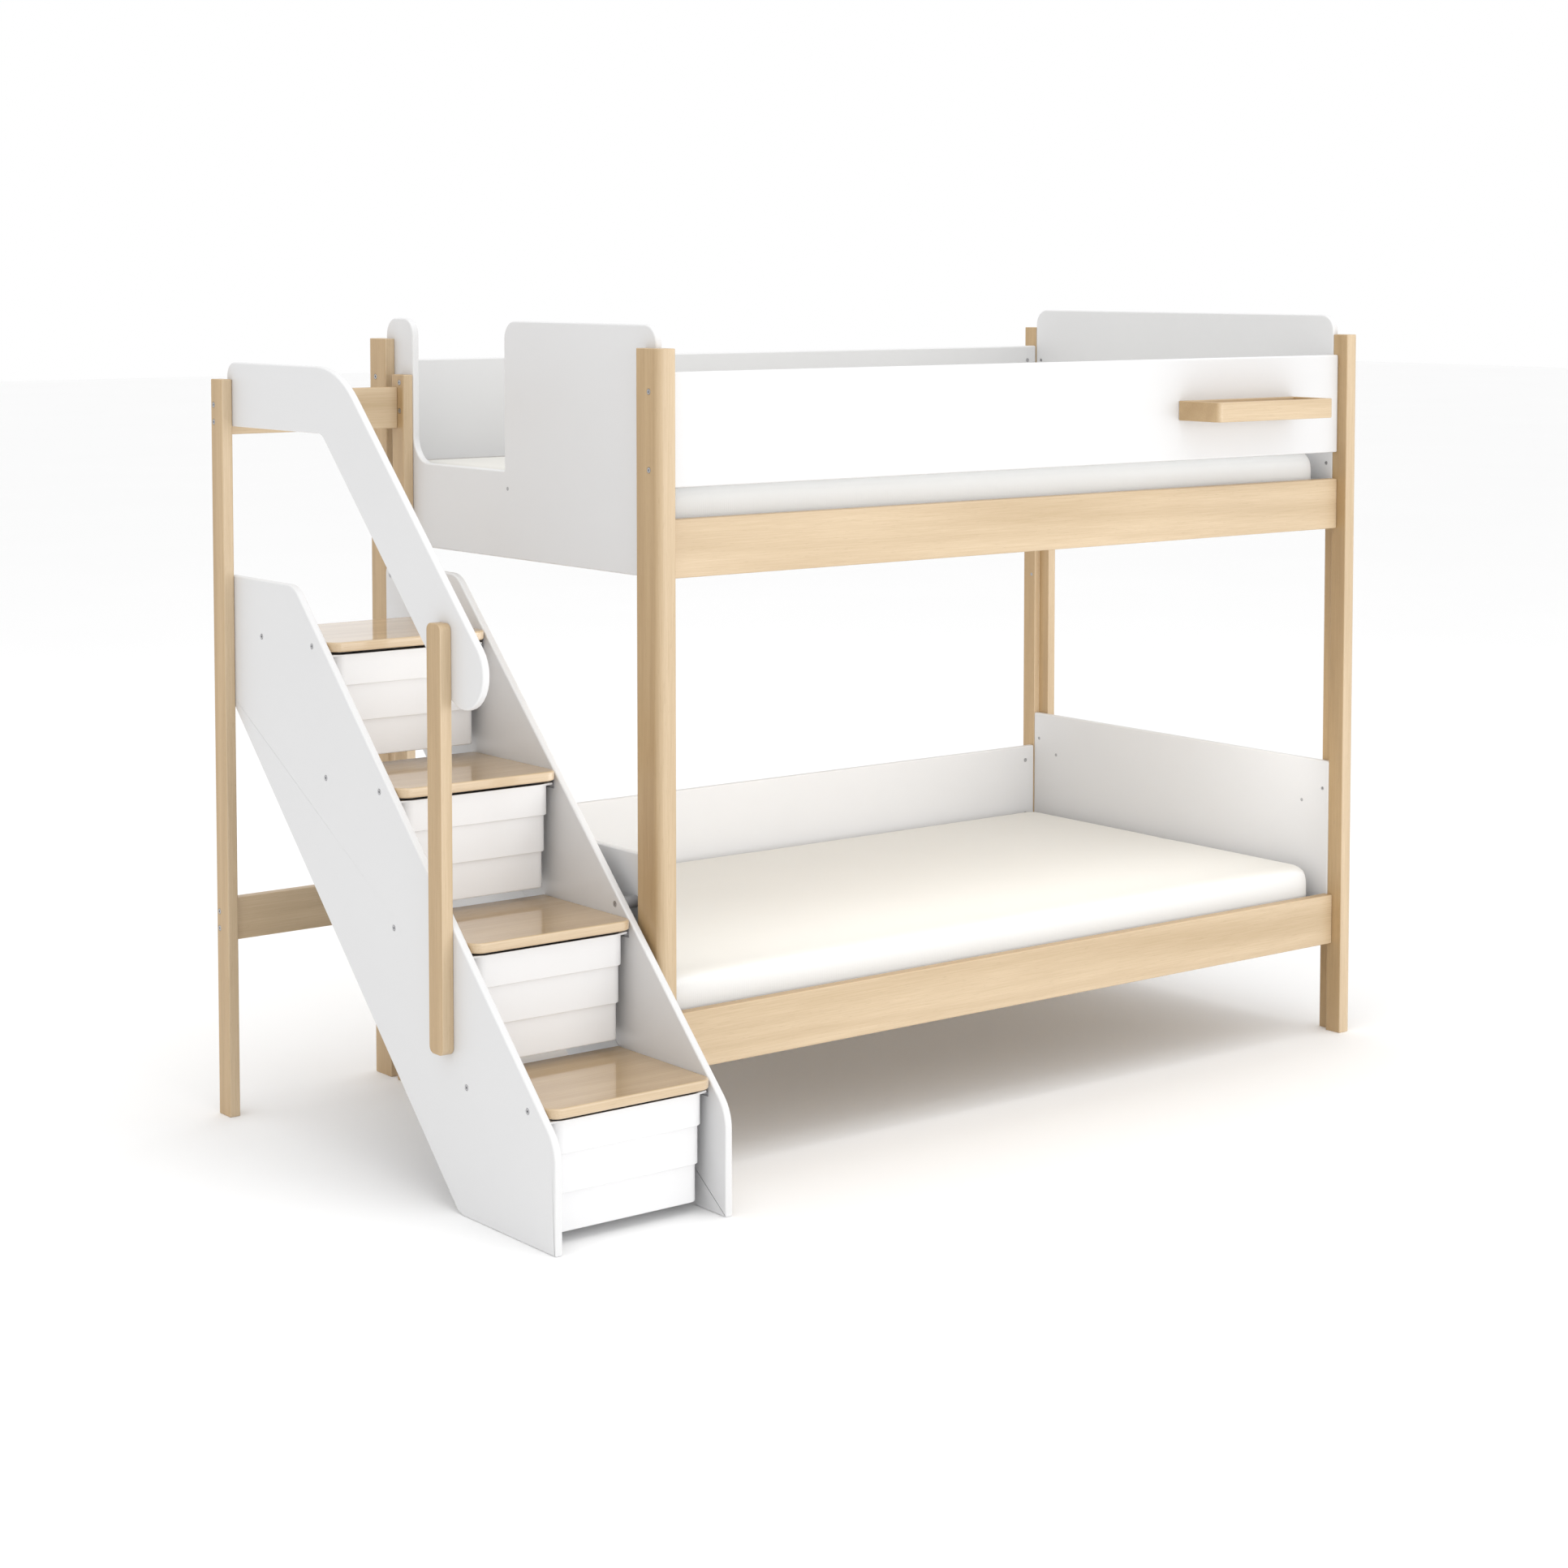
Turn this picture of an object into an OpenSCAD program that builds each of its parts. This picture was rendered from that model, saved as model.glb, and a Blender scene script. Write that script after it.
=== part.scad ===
// Twin-over-twin bunk bed with a storage staircase at its left end.
// Millimetres. The origin is on the floor at the centre of the footprint,
// +X runs along the bed away from the stair, +Y from front to back, +Z up.

/* [Mattresses] */
// Length of each mattress
mattress_l = 1890; // [1500:5:2200]
// Width of each mattress
mattress_w = 990; // [700:5:1400]
// Thickness of each mattress
mattress_h = 145; // [80:5:180]
// Free space beside the mattress, each side
mattress_side_gap = 7; // [5:1:20]
// Free space beyond the mattress, each end
mattress_end_gap = 17.5; // [10:0.5:40]

/* [Bed posts] */
// Post width along the bed
post_w = 40; // [34:1:60]
// Post depth across the bed
post_d = 78; // [70:1:100]
// Post height
post_h = 1644; // [1600:2:2000]
// Radius of each post's outer upright corner
post_round = 18; // [4:1:24]
// Depth of the corner rebate that holds an end panel
rebate_d = 35; // [25:1:40]

/* [Rails and panels] */
// Rails and guards stand this far behind the post's outer face
front_setback = 27; // [8:1:30]
// Thickness of the side rails
rail_t = 25; // [18:1:32]
// Height of the side rails
rail_h = 116; // [90:1:150]
// Underside of the lower rails above the floor
lower_rail_z = 210; // [120:1:300]
// Underside of the upper rails above the floor
upper_rail_z = 1192; // [1100:1:1250]
// Thickness of the white panels
panel_t = 16; // [12:1:20]
// Gap between the upper rail and the guard above it
guard_gap = 62; // [40:1:75]
// Height of the upper guards
guard_h = 227; // [180:1:260]
// Height of the headboard and the footboard
headboard_h = 497; // [460:1:600]
// Radius of the headboard's top corners
headboard_round = 38; // [10:1:60]
// Height of the lower end panels
end_panel_h = 430; // [300:1:500]
// Top of the lower rear panel above the rail's underside
rear_panel_top = 344; // [280:1:480]
// Gap between the lower rear rail and the panel above it
rear_panel_gap = 14; // [6:1:30]

/* [Slats] */
// Number of slats under each mattress
slat_count = 14; // [10:1:20]
// Width of a slat
slat_w = 70; // [50:1:80]
// Thickness of a slat
slat_t = 18; // [12:1:25]
// Side of the square ledger under the slat ends
ledger = 20; // [15:1:30]

/* [Entry cut-out] */
// Width of the entry in the footboard
entry_w = 364; // [300:2:420]
// Entry sill above the footboard's lower edge
entry_sill = 183; // [180:1:260]
// Footboard left behind the entry
entry_rear = 112; // [90:1:150]
// Radius of the entry's lower rear corner
entry_round = 60; // [10:1:80]

/* [Staircase] */
// Clear width between the stair sides
stair_w = 372; // [320:1:480]
// Rise of each step
step_rise = 261.5; // [210:0.5:300]
// Going of each step
step_run = 262; // [220:1:300]
// Depth of a tread
tread_d = 320; // [290:1:340]
// Thickness of a tread
tread_t = 20; // [16:1:28]
// Radius of a tread's front corners
tread_round = 28; // [5:1:50]
// Tread nose to the front of the bed posts
stair_front = 213; // [150:1:300]
// Foot of the stair sides ahead of the first nose
stair_foot = 36; // [20:1:60]
// Tread noses ahead of the stair sides' sloping edge, measured straight down
nose_proud = 21; // [5:1:30]
// Height of the stair sides, measured straight down from edge to edge
stair_side_h = 534; // [480:1:600]
// Radius where the stair sides' sloping edge turns down to the floor
stair_bend = 85; // [20:5:150]
// Top of the stair sides above the last tread
stair_side_top = 108; // [60:1:160]
// Thickness of the stair sides and the handrail panel
side_t = 16; // [12:1:20]
// Back edge of the stair sides ahead of the back of the stair posts
side_back_gap = 12; // [0:1:25]
// Gap between the stair's right side and its right rear post
stair_gap = 10; // [4:1:20]

/* [Stair frame and handrail] */
// Thickness of the stair posts and the baluster
stair_post_t = 25; // [20:1:35]
// Depth of the stair posts and the baluster
stair_post_d = 50; // [40:1:70]
// Height of the stair rear posts
stair_post_h = 1567; // [1500:1:1800]
// Front face of the stair rear posts behind the bed's front
stair_post_y = 953; // [930:1:990]
// Thickness of the cross rails
cross_t = 25; // [18:1:30]
// Height of the cross rails
cross_h = 90; // [60:1:120]
// Underside of the upper cross rail
cross_top_z = 1450; // [1400:1:1460]
// Underside of the lower cross rail
cross_low_z = 374; // [250:1:420]
// Top of the handrail panel
handrail_top = 1603; // [1560:1:1700]
// Height of the handrail panel's level part
handrail_level_h = 135; // [100:1:160]
// Height of the handrail's sloping part, measured straight down
handrail_slope_h = 200; // [150:1:230]
// Handrail's upper edge above the nose line
handrail_rise = 612; // [560:1:700]
// Front of the baluster behind the bed's front
baluster_y = 95; // [60:1:200]
// Foot of the baluster above the floor
baluster_z = 305; // [200:1:330]
// Length of the baluster
baluster_h = 826; // [780:1:900]

/* [Tubs] */
// Width of a tub's body at the top
tub_w = 348; // [280:1:352]
// Depth of a tub
tub_d = 290; // [230:1:300]
// Space between a tub and the tread below it
tub_gap = 21.8; // [15:0.1:60]
// Wall of a tub
tub_wall = 3; // [2:0.5:5]
// Set-back of each band below the one above
tub_step = 5; // [2:1:8]
// Corner radius of a tub
tub_round = 26; // [10:1:40]
// Tub front behind the tread nose
tub_setback = 13; // [4:1:30]
// Runner ledge below the tread
runner_drop = 11; // [8:1:20]
// Length of a runner
runner_l = 270; // [200:1:300]

/* [Tray] */
// Length of the bedside tray
tray_l = 368; // [200:2:500]
// Depth of the bedside tray
tray_d = 127; // [80:1:180]
// Height of the bedside tray
tray_h = 44; // [30:1:70]
// Wall of the bedside tray
tray_wall = 12; // [8:1:18]
// Thickness of the tray's base
tray_base_t = 6; // [4:1:10]
// Corner radius of the tray's front
tray_round = 12; // [4:1:50]
// Tray to the right-hand post
tray_end_gap = 155; // [20:1:900]
// Underside of the tray above the guard's lower edge
tray_rise = 90; // [20:1:150]

/* [Fasteners] */
// Radius of a furniture bolt's shank
bolt_r = 3; // [2.5:0.5:4]
// Radius of a furniture bolt's head
bolt_head_r = 6; // [5:0.5:8]
// Radius of a wood screw's shank
screw_r = 2; // [1.5:0.5:3]
// Radius of a wood screw's head
screw_head_r = 4; // [3:0.5:6]
// Play around every fastener
play = 0.2; // [0.1:0.05:0.4]

/* [Hidden] */
$fn = 48;
steps = 4;
head_h = 3;
arc_parts = 8;

// Bed plan, measured from the outer front corner of the front left post.
panel_x = post_w - panel_t;
panel_y = front_setback + panel_t;
bed_l = mattress_l + 2 * (mattress_end_gap + post_w);
bed_w = mattress_w + 2 * (mattress_side_gap + rail_t + front_setback);
clear_l = bed_l - 2 * post_w;

// Bed levels.
slat_rise = ledger + slat_t;
guard_z = upper_rail_z + rail_h + guard_gap;
headboard_z = upper_rail_z + 1;
headboard_top = headboard_z + headboard_h;
rear_panel_z = lower_rail_z + rail_h + rear_panel_gap;
rear_panel_h = lower_rail_z + rear_panel_top - rear_panel_z;
end_panel_top = lower_rail_z + end_panel_h;

// Stair planes along X, all to the left of the bed.
right_post_x = panel_x - stair_post_t;
side_right_x = right_post_x - stair_gap - side_t;
side_left_x = side_right_x - stair_w - side_t;
left_post_x = side_left_x - stair_post_t;
pitch = step_rise / step_run;
stair_back = stair_post_y + stair_post_d;
last_tread_z = steps * step_rise;
tub_over_ledge = 4.3;
tub_h = step_rise - tread_t - runner_drop + tub_over_ledge - tub_gap;

// Footprint, which places the origin.
foot_x = [left_post_x, bed_l];
foot_y = [-stair_front - stair_foot, bed_w];

// Fastener lines.
guard_bolt_y = front_setback + panel_t / 2;
guard_bolt_edge = 37;
bolt_l = post_w + 45;
nut_back = 30;
nut_r = 5;
panel_screw_y = panel_y + 19;
frame_bolt_y = stair_back - cross_t / 2;
frame_bolt_pitch = 36;
post_bolt_y = stair_post_y + 17;
tread_bolt_y = [55, tread_d - 55];
bracket_t = 3;
bracket_leg = 40;
bracket_h = 60;
brace_y = 117;
brace_z = 2 * step_rise + 20;

wood = [0.90, 0.79, 0.63];
white = [0.96, 0.96, 0.96];
tub_white = [0.93, 0.94, 0.94];
cloth = [0.93, 0.92, 0.90];
steel = [0.55, 0.55, 0.56];
grey = [0.35, 0.35, 0.36];

// Height of the nose line above the floor at a distance y from the bed's front.
function nose_z(y) = step_rise + (y + stair_front) * pitch;
// Distance from the bed's front at which the nose line reaches a height.
function nose_y(z) = (z - step_rise) / pitch - stair_front;
function tread_front(step) = -stair_front + (step - 1) * step_run;
function tub_top(step) = step * step_rise - tread_t - runner_drop + tub_over_ledge;

function unit(v) = v / norm(v);
function polar(angle) = [cos(angle), sin(angle)];
// The arc that rounds the corner at b, between the points a and c.
function corner_arc(a, b, c, r) =
    let (u = unit(a - b), w = unit(c - b), half = acos(u * w) / 2,
         centre = b + unit(u + w) * r / sin(half),
         first = b + u * r / tan(half) - centre, last = b + w * r / tan(half) - centre,
         start = atan2(first.y, first.x),
         sweep = (atan2(last.y, last.x) - start + 540) % 360 - 180)
    [for (i = [0:arc_parts]) centre + r * polar(start + sweep * i / arc_parts)];
// A polygon whose corner i is rounded by radii[i].
function rounded(points, radii) =
    let (count = len(points))
    [for (i = [0:count - 1]) each radii[i] == 0 ? [points[i]]
        : corner_arc(points[(i + count - 1) % count], points[i], points[(i + 1) % count], radii[i])];
function box_points(low, high) = [low, [high.x, low.y], high, [low.x, high.y]];

// Places what is drawn from the bed's corner.
module from_bed() translate([-(foot_x[0] + foot_x[1]) / 2, -(foot_y[0] + foot_y[1]) / 2, 0]) children();
// A plate standing across the bed: points are [y, z].
module plate_yz(x, t, points) translate([x, 0, 0]) rotate([90, 0, 90]) linear_extrude(t) polygon(points);
// A plate lying flat: points are [x, y].
module plate_xy(z, t, points) translate([0, 0, z]) linear_extrude(t) polygon(points);
// A fastener along X with its head sunk flush; way is 1 or -1.
module fastener_x(at, length, way, shank_r, cap_r, grow) {
    translate(at) rotate([0, 90 * way, 0]) {
        translate([0, 0, -grow]) cylinder(r = cap_r + grow, h = head_h + 2 * grow);
        cylinder(r = shank_r + grow, h = length + grow);
    }
}
// The same fastener along Y.
module fastener_y(at, length, way, shank_r, cap_r, grow) {
    translate(at) rotate([-90 * way, 0, 0]) {
        translate([0, 0, -grow]) cylinder(r = cap_r + grow, h = head_h + 2 * grow);
        cylinder(r = shank_r + grow, h = length + grow);
    }
}
// Repeats what is drawn at the front left for the chosen ends and sides of the bed.
module at_end(right) {
    if (right) translate([bed_l, 0, 0]) mirror([1, 0, 0]) children();
    else children();
}
module at_side(rear) {
    if (rear) translate([0, bed_w, 0]) mirror([0, 1, 0]) children();
    else children();
}
module at_all_corners()
    for (right = [false, true], rear = [false, true]) at_end(right) at_side(rear) children();

// Bolts through the posts into the ends of the guards and of the lower rear panel.
function guard_levels(rear) = concat(
    [guard_z + guard_bolt_edge, guard_z + guard_h - guard_bolt_edge],
    rear ? [rear_panel_z + guard_bolt_edge, rear_panel_z + rear_panel_h - guard_bolt_edge] : []);
module guard_bolt_set(grow = 0) {
    for (right = [false, true], rear = [false, true]) at_end(right) at_side(rear)
        for (z = guard_levels(rear))
            fastener_x([0, guard_bolt_y, z], bolt_l, 1, bolt_r, bolt_head_r, grow);
}
// Cross nuts that take those bolts, let in from the bed's inner side.
module guard_nut_set(grow = 0) {
    for (right = [false, true], rear = [false, true]) at_end(right) at_side(rear)
        for (z = guard_levels(rear)) translate([post_w + nut_back, panel_y, z]) rotate([90, 0, 0])
            translate([0, 0, -grow]) cylinder(r = nut_r + grow, h = panel_t - 2 + 2 * grow);
}
// Screws through the end panels into the posts.
panel_screw_z = [
    lower_rail_z + 22, end_panel_top - 66,
    headboard_z + 22, headboard_z + 150, headboard_top - 130
];
module panel_screw_set(grow = 0) {
    at_all_corners() for (z = panel_screw_z)
        fastener_x([post_w, panel_screw_y, z], post_w - 6, -1, screw_r, screw_head_r, grow);
}
// Angle brackets that join the rails to the end panels and posts.
bracket_z = [lower_rail_z + slat_rise + 6, upper_rail_z + slat_rise + 6];
inner_y = front_setback + rail_t;
module bracket_screw_set(grow = 0) {
    at_all_corners() for (z = bracket_z, lift = [15, bracket_h - 15]) {
        fastener_x([post_w + bracket_t, inner_y + 13, z + lift], post_w - 4, -1,
            screw_r, screw_head_r, grow);
        fastener_y([post_w + 24, inner_y + bracket_t, z + lift], rail_t - 2, -1,
            screw_r, screw_head_r, grow);
    }
}
// Bolts through both stair sides into the tread ends.
module tread_bolt_set(grow = 0) {
    for (step = [1:steps], back = tread_bolt_y) {
        y = tread_front(step) + back;
        z = step * step_rise - tread_t / 2;
        fastener_x([side_left_x, y, z], side_t + 45, 1, bolt_r, bolt_head_r, grow);
        fastener_x([side_right_x + side_t, y, z], side_t + 45, -1, bolt_r, bolt_head_r, grow);
    }
}
// Bolts through the stair posts into the cross rails, and through the right one into the footboard.
module frame_bolt_set(grow = 0) {
    for (side = [-1, 1]) {
        for (z = [cross_top_z, cross_low_z]) {
            level = z + cross_h / 2 + side * frame_bolt_pitch / 2;
            fastener_x([left_post_x, frame_bolt_y, level], stair_post_t + 45, 1,
                bolt_r, bolt_head_r, grow);
            fastener_x([panel_x, frame_bolt_y, level], stair_post_t + 45, -1,
                bolt_r, bolt_head_r, grow);
        }
        fastener_x([right_post_x, post_bolt_y, cross_top_z + 69 + side * 31],
            stair_post_t + panel_t - 2, 1, bolt_r, bolt_head_r, grow);
    }
}
// Bolts that hold the stair sides to their posts and to the bed.
side_bolt_z = [stair_side_top + last_tread_z - 23, stair_side_top + last_tread_z - 163];
module side_bolt_set(grow = 0) {
    for (z = side_bolt_z) {
        fastener_x([side_left_x + side_t, post_bolt_y, z], side_t + stair_post_t - 4, -1,
            bolt_r, bolt_head_r, grow);
        fastener_x([side_right_x, post_bolt_y, z], side_t + stair_gap + stair_post_t - 4, 1,
            bolt_r, bolt_head_r, grow);
    }
    fastener_x([side_right_x, brace_y, brace_z], panel_x - side_right_x + panel_t - 3, 1,
        bolt_r, bolt_head_r, grow);
}
// Screws from inside the handrail and the left stair side into the baluster.
baluster_top = baluster_z + baluster_h;
baluster_screw_z = [baluster_z + 40, baluster_z + 120, baluster_top - 85, baluster_top - 25];
module baluster_screw_set(grow = 0) {
    for (z = baluster_screw_z)
        fastener_x([side_left_x + side_t, baluster_y + stair_post_d / 2, z],
            side_t + stair_post_t - 5, -1, screw_r, screw_head_r, grow);
}
// Screws from inside the handrail into the left stair post.
module handrail_screw_set(grow = 0) {
    for (z = [handrail_top - handrail_level_h + 20, stair_post_h - 20])
        fastener_x([side_left_x + side_t, stair_post_y + 12, z],
            side_t + stair_post_t - 5, -1, screw_r, screw_head_r, grow);
}
// Screws from the bed side of the front guard into the tray.
tray_x = bed_l - post_w - tray_end_gap - tray_l;
tray_z = guard_z + tray_rise;
module tray_screw_set(grow = 0) {
    for (share = [0.2, 0.8])
        fastener_y([tray_x + share * tray_l, panel_y, tray_z + tray_h / 2],
            panel_t + tray_wall - 3, -1, screw_r, screw_head_r, grow);
}
// Plastic caps in the unused holes for a stair at the other end.
module hole_cap_set(grow = 0) {
    right_x = bed_l - post_w;
    caps = [
        [right_x, brace_y + 10, end_panel_top - 102],
        [right_x, bed_w - brace_y - 10, end_panel_top - 102],
        [right_x, bed_w - guard_bolt_y + 5, upper_rail_z - 191],
        [panel_x, bed_w / 2 + 23, headboard_z + 146]
    ];
    for (at = caps) fastener_x(at, 8, 1, screw_r, screw_head_r, grow);
}

// A bed post at the front left corner, its inner corner rebated for the end panel.
module post(right, rear) color(wood) from_bed() difference() {
    at_end(right) at_side(rear) plate_xy(0, post_h, rounded(
        [[0, 0], [post_w, 0], [post_w, post_d - rebate_d],
         [panel_x, post_d - rebate_d], [panel_x, post_d], [0, post_d]],
        [post_round, 3, 0, 0, 2, 3]));
    guard_bolt_set(play);
    panel_screw_set(play);
    bracket_screw_set(play);
    hole_cap_set(play);
}
module post_front_left() post(false, false);
module post_front_right() post(true, false);
module post_rear_left() post(false, true);
module post_rear_right() post(true, true);

module rail(z, rear) color(wood) from_bed() difference() {
    at_side(rear) translate([post_w, front_setback, z]) cube([clear_l, rail_t, rail_h]);
    bracket_screw_set(play);
}
module upper_front_rail() rail(upper_rail_z, false);
module upper_rear_rail() rail(upper_rail_z, true);
module lower_front_rail() rail(lower_rail_z, false);
module lower_rear_rail() rail(lower_rail_z, true);

module guard(z, height, rear) color(white) from_bed() difference() {
    at_side(rear) translate([post_w, front_setback, z]) cube([clear_l, panel_t, height]);
    guard_bolt_set(play);
    guard_nut_set(play);
    tray_screw_set(play);
}
module front_guard_panel() guard(guard_z, guard_h, false);
module rear_guard_panel() guard(guard_z, guard_h, true);
module lower_rear_panel() guard(rear_panel_z, rear_panel_h, true);

// Cuts shared by everything that stands in the end panels' planes.
module end_panel_cuts() {
    panel_screw_set(play);
    bracket_screw_set(play);
    frame_bolt_set(play);
    side_bolt_set(play);
    hole_cap_set(play);
}
module headboard() color(white) from_bed() difference() {
    plate_yz(bed_l - post_w, panel_t, rounded(
        box_points([panel_y, headboard_z], [bed_w - panel_y, headboard_top]),
        [0, 0, headboard_round, headboard_round]));
    end_panel_cuts();
}
// The footboard is cut down behind its middle, where the stair arrives.
module footboard() {
    entry_back = bed_w - panel_y - entry_rear;
    entry_front = entry_back - entry_w;
    sill = headboard_z + entry_sill;
    color(white) from_bed() difference() {
        plate_yz(panel_x, panel_t, rounded(
            [[panel_y, headboard_z], [bed_w - panel_y, headboard_z], [bed_w - panel_y, headboard_top],
             [entry_back, headboard_top], [entry_back, sill], [entry_front, sill],
             [entry_front, headboard_top], [panel_y, headboard_top]],
            [0, 0, headboard_round, headboard_round, entry_round, 4, headboard_round, headboard_round]));
        end_panel_cuts();
    }
}
module lower_end_panel(right) color(white) from_bed() difference() {
    plate_yz(right ? bed_l - post_w : panel_x, panel_t,
        box_points([panel_y, lower_rail_z], [bed_w - panel_y, end_panel_top]));
    end_panel_cuts();
}
module lower_end_panel_left() lower_end_panel(false);
module lower_end_panel_right() lower_end_panel(true);

module ledgers(z) color(wood) from_bed() for (rear = [false, true])
    at_side(rear) translate([post_w + 6, inner_y, z]) cube([clear_l - 12, ledger, ledger]);
module upper_ledgers() ledgers(upper_rail_z);
module lower_ledgers() ledgers(lower_rail_z);

module slats(z) {
    first = post_w + 14;
    spacing = (clear_l - 28 - slat_w) / (slat_count - 1);
    color(wood) from_bed() for (i = [0:slat_count - 1])
        translate([first + i * spacing, inner_y + 2, z + ledger])
            cube([slat_w, bed_w - 2 * inner_y - 4, slat_t]);
}
module upper_slats() slats(upper_rail_z);
module lower_slats() slats(lower_rail_z);

module mattress(z) {
    low = [post_w + mattress_end_gap, inner_y + mattress_side_gap];
    color(cloth) from_bed() plate_xy(z + slat_rise + 0.3, mattress_h, rounded(
        box_points(low, low + [mattress_l, mattress_w]), [30, 30, 30, 30]));
}
module upper_mattress() mattress(upper_rail_z);
module lower_mattress() mattress(lower_rail_z);

// Outline of the tray, drawn in by a margin.
function tray_outline(margin) = rounded(
    box_points([tray_x + margin, front_setback - tray_d + margin],
        [tray_x + tray_l - margin, front_setback - margin]),
    [tray_round - margin, tray_round - margin, 3, 3]);
module tray_frame() color(wood) from_bed() difference() {
    plate_xy(tray_z, tray_h, tray_outline(0));
    plate_xy(tray_z - 1, tray_h + 2, tray_outline(tray_wall));
    tray_screw_set(play);
}
module tray_base() color(wood) from_bed() plate_xy(tray_z + 3, tray_base_t, tray_outline(tray_wall));

// A stair side: level foot and top, sloping front and back edges.
module stair_side(x) {
    edge = -nose_proud;
    top = last_tread_z + stair_side_top;
    front = -stair_front - stair_foot;
    heel = nose_y(stair_side_h - edge);
    back = stair_back - side_back_gap;
    back_z = nose_z(back) + edge - stair_side_h;
    color(white) from_bed() difference() {
        plate_yz(x, side_t, rounded(
            [[front, 0], [heel, 0], [back, back_z], [back, top], [nose_y(top - edge), top],
             [front, nose_z(front) + edge]],
            [3, 40, 3, 20, 60, stair_bend]));
        tread_bolt_set(play);
        side_bolt_set(play);
        baluster_screw_set(play);
    }
}
module stair_side_left() stair_side(side_left_x);
module stair_side_right() stair_side(side_right_x);

module stair_post(x) color(wood) from_bed() difference() {
    plate_xy(0, stair_post_h, rounded(
        box_points([x, stair_post_y], [x + stair_post_t, stair_back]), [4, 4, 4, 4]));
    frame_bolt_set(play);
    side_bolt_set(play);
    handrail_screw_set(play);
}
module stair_post_left() stair_post(left_post_x);
module stair_post_right() stair_post(right_post_x);

module cross_rail(z) color(wood) from_bed() difference() {
    translate([side_left_x, stair_back - cross_t, z])
        cube([right_post_x - side_left_x, cross_t, cross_h]);
    frame_bolt_set(play);
}
module cross_rail_top() cross_rail(cross_top_z);
module cross_rail_low() cross_rail(cross_low_z);

// The handrail runs level from the post, bends down along the stair and ends round.
module handrail_panel() {
    high = handrail_rise - handrail_slope_h;
    bottom = handrail_top - handrail_level_h;
    back = stair_back - cross_t;
    slope = atan(pitch);
    tip_r = handrail_slope_h * cos(slope) / 2;
    tip_y = baluster_y - 40;
    tip = [tip_y, nose_z(tip_y) + handrail_rise - handrail_slope_h / 2];
    tip_turns = 2 * arc_parts;
    tip_arc = [for (i = [0:tip_turns]) tip + tip_r * polar(slope + 90 + 180 * i / tip_turns)];
    outline = concat(
        corner_arc(tip_arc[tip_turns], [nose_y(bottom - high), bottom], [back, bottom], 40),
        [[back, bottom]],
        corner_arc([back, bottom], [back, handrail_top], [0, handrail_top], 30),
        corner_arc([back, handrail_top], [nose_y(handrail_top - handrail_rise), handrail_top],
            tip_arc[0], 200),
        tip_arc);
    color(white) from_bed() difference() {
        plate_yz(side_left_x, side_t, outline);
        handrail_screw_set(play);
        baluster_screw_set(play);
    }
}
module baluster() color(wood) from_bed() difference() {
    plate_yz(left_post_x, stair_post_t, rounded(
        box_points([baluster_y, baluster_z], [baluster_y + stair_post_d, baluster_z + baluster_h]),
        [14, 14, 14, 14]));
    baluster_screw_set(play);
}

module tread(step) color(wood) from_bed() difference() {
    plate_xy(step * step_rise - tread_t, tread_t, rounded(
        box_points([side_left_x + side_t, tread_front(step)],
            [side_right_x, tread_front(step) + tread_d]),
        [tread_round, tread_round, 0, 0]));
    tread_bolt_set(play);
}

// A runner is an angle under the tread whose ledge carries the tub's rim.
runner_t = 2;
rim_t = 4;
rim_play = 1.5;
tub_x = (side_left_x + side_t + side_right_x) / 2;
runner_reach = (stair_w - tub_w) / 2 - 1;
module tub_runners(step) {
    ledge_z = step * step_rise - tread_t - runner_drop;
    color(grey) from_bed() for (side = [0, 1])
        translate([tub_x, 0, 0]) mirror([side, 0, 0])
            translate([-stair_w / 2, tread_front(step) + tub_setback + 6, ledge_z]) {
                translate([0, 0, -runner_t]) cube([runner_reach, runner_l, runner_t]);
                translate([0, 0, -8]) cube([runner_t, runner_l, 6 + runner_drop]);
            }
}

// A tub has three bands, each set in from the one above, and side rims that ride on the runners.
function tub_outline(step, inset) =
    let (y = tread_front(step) + tub_setback)
    rounded(box_points([tub_x - tub_w / 2 + inset, y + inset],
            [tub_x + tub_w / 2 - inset, y + tub_d - inset]),
        [for (i = [1:4]) max(tub_round - inset, 4)]);
module tub(step) {
    top = tub_top(step);
    band_h = [tub_h - 2 * (tub_h / 3 + 4), tub_h / 3 + 4, tub_h / 3 + 4];
    band_z = [top - band_h[0], top - band_h[0] - band_h[1], top - tub_h];
    rim_x = stair_w / 2 - runner_t - rim_play;
    rim_y = tread_front(step) + tub_setback + 8;
    color(tub_white) from_bed() difference() {
        union() {
            for (band = [0:2]) plate_xy(band_z[band], band_h[band], tub_outline(step, band * tub_step));
            translate([tub_x - rim_x, rim_y, top - rim_t]) cube([2 * rim_x, tub_d - 16, rim_t]);
        }
        for (band = [0:2])
            plate_xy(band_z[band] + tub_wall, top - band_z[band],
                tub_outline(step, band * tub_step + tub_wall));
    }
}

module guard_bolts() color(steel) from_bed() guard_bolt_set();
module guard_nuts() color(steel) from_bed() difference() {
    guard_nut_set();
    guard_bolt_set(play / 2);
}
module panel_screws() color(grey) from_bed() panel_screw_set();
module rail_brackets() color(steel) from_bed() difference() {
    at_all_corners() for (z = bracket_z) translate([post_w, inner_y, z]) {
        cube([bracket_leg, bracket_t, bracket_h]);
        cube([bracket_t, bracket_leg, bracket_h]);
    }
    bracket_screw_set(play);
}
module bracket_screws() color(grey) from_bed() bracket_screw_set();
module tread_bolts() color(steel) from_bed() tread_bolt_set();
module stair_frame_bolts() color(steel) from_bed() frame_bolt_set();
module stair_side_bolts() color(steel) from_bed() side_bolt_set();
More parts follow.
